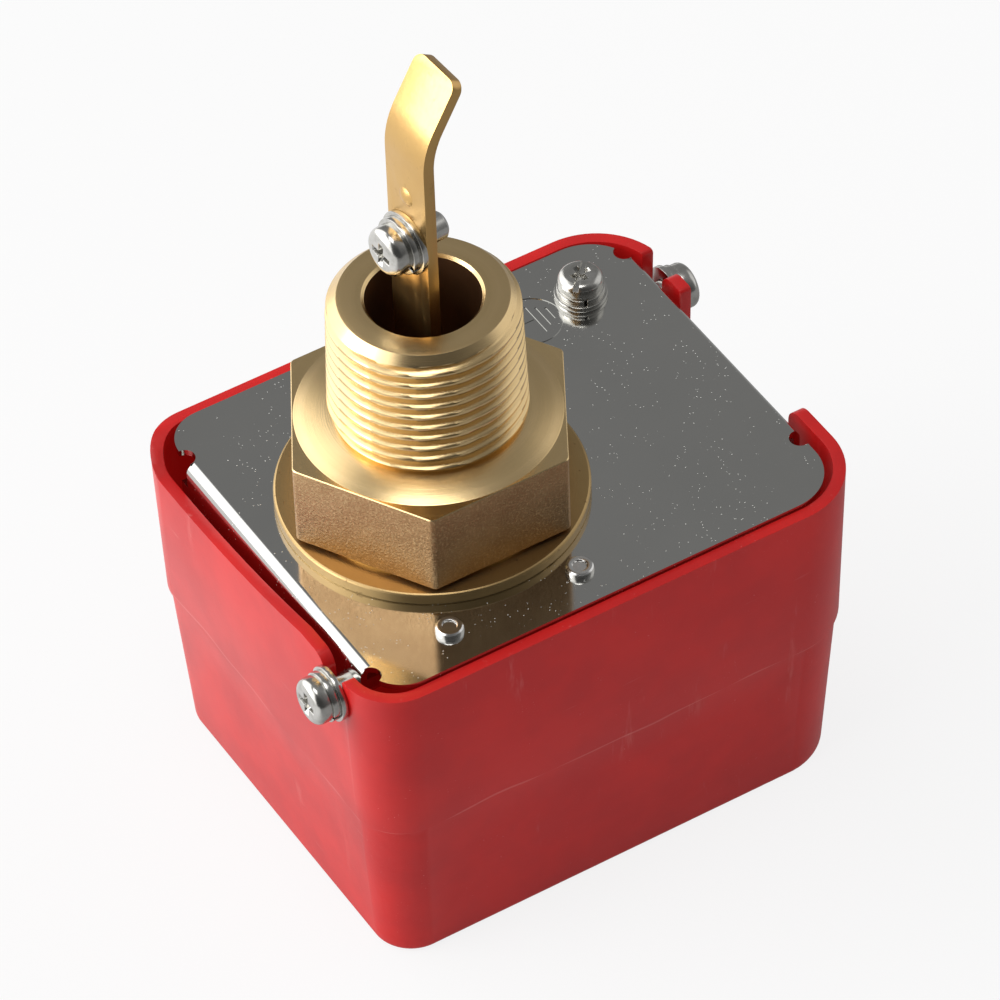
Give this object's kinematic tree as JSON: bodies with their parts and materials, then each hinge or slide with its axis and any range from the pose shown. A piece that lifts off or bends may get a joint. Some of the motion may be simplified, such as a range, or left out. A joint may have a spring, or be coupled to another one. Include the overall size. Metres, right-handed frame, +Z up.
{
  "type": "paddle flow switch",
  "caption": "Pipe-mounted paddle flow switch: red box cover, plated base plate, brass hexagon fitting with taper thread and a bent brass arm.",
  "frame": {"origin": "on the pipe thread's axis, in the plane of the cover's flat base, which the object stands on", "axes": "+Z up along the pipe thread towards the arm's tip, +X along the plate's long side towards the conduit hole, the way the flow pushes the arm"},
  "size_m": [0.1102, 0.0814, 0.1598],
  "materials": {
    "red_plastic": "moulded, semi-gloss, lightly scuffed",
    "plated_steel": "bright plated sheet with fine specks",
    "cast_brass": "turned thread and faces, sand-cast hexagon and disc",
    "strip_brass": "rolled strip, brushed",
    "screw_steel": "nickel plated",
    "stainless": "stainless, satin",
    "rivet_steel": "bright pressed heads",
    "zinc_sheet": "zinc plated",
    "spring_steel": "oiled spring wire",
    "switch_plastic": "black phenolic",
    "plunger_plastic": "glossy",
    "terminal_brass": "rolled",
    "insulator_sheet": "pressed fibre sheet"
  },
  "bodies": {
    "cover": {"cover": "red_plastic"},
    "arm": {"paddle_arm": "strip_brass", "paddle_screw": "stainless", "paddle_spring_washer": "stainless", "paddle_flat_washer": "stainless", "lever_stem": "strip_brass", "rocker_lever": "zinc_sheet", "trip_screw": "screw_steel", "trip_locknut": "screw_steel"},
    "switch_plunger": {"switch_plunger": "plunger_plastic"},
    "range_screw": {"range_screw": "screw_steel"},
    "range_nut": {"range_nut": "strip_brass"},
    "base": {"base_plate": "plated_steel", "threaded_fitting": "cast_brass", "fitting_screws": "screw_steel", "bellows_flange": "strip_brass", "bellows": "strip_brass", "cover_screws": "screw_steel", "cover_spring_washers": "screw_steel", "cover_flat_washers": "screw_steel", "earth_screw": "screw_steel", "earth_spring_washer": "screw_steel", "earth_flat_washer": "screw_steel", "frame_rivets": "rivet_steel", "mechanism_frame": "zinc_sheet", "pivot_pin": "stainless", "pin_clips": "zinc_sheet", "range_spring": "spring_steel", "range_clip": "zinc_sheet", "switch_body": "switch_plastic", "switch_lid": "switch_plastic", "switch_terminals": "terminal_brass", "terminal_screws": "screw_steel", "switch_insulator": "insulator_sheet", "switch_bracket": "zinc_sheet", "bracket_screws": "screw_steel", "switch_screws": "screw_steel", "switch_nuts": "screw_steel"}
  },
  "joints": [
    {"name": "base_lift", "type": "slide", "parent": "cover", "child": "base", "axis": [0, 0, 1], "range_m": [0, 0.06]},
    {"name": "arm_rock", "type": "hinge", "parent": "base", "child": "arm", "pos_m": [0, 0, 0.0548], "axis": [0, 1, 0], "range_deg": [0, 4], "stiffness_Nm_per_rad": 0.3, "springref_deg": -11.46, "deforming": ["range_spring", "bellows"]},
    {"name": "plunger_press", "type": "slide", "parent": "base", "child": "switch_plunger", "axis": [0, 0, -1], "range_m": [0, 0.0022]},
    {"name": "range_turn", "type": "hinge", "parent": "base", "child": "range_screw", "pos_m": [0.0125, 0, 0.0548], "axis": [0, 0, 1], "range_deg": [-720, 720]},
    {"name": "range_nut_travel", "type": "slide", "parent": "base", "child": "range_nut", "axis": [0, 0, 1], "range_m": [-0.0016, 0.0016]}
  ],
  "couplings": [
    {"joint": "plunger_press", "follows": "arm_rock", "m_per_rad": 0.03},
    {"joint": "range_turn", "follows": "range_nut_travel", "rad_per_m": 7854}
  ]
}
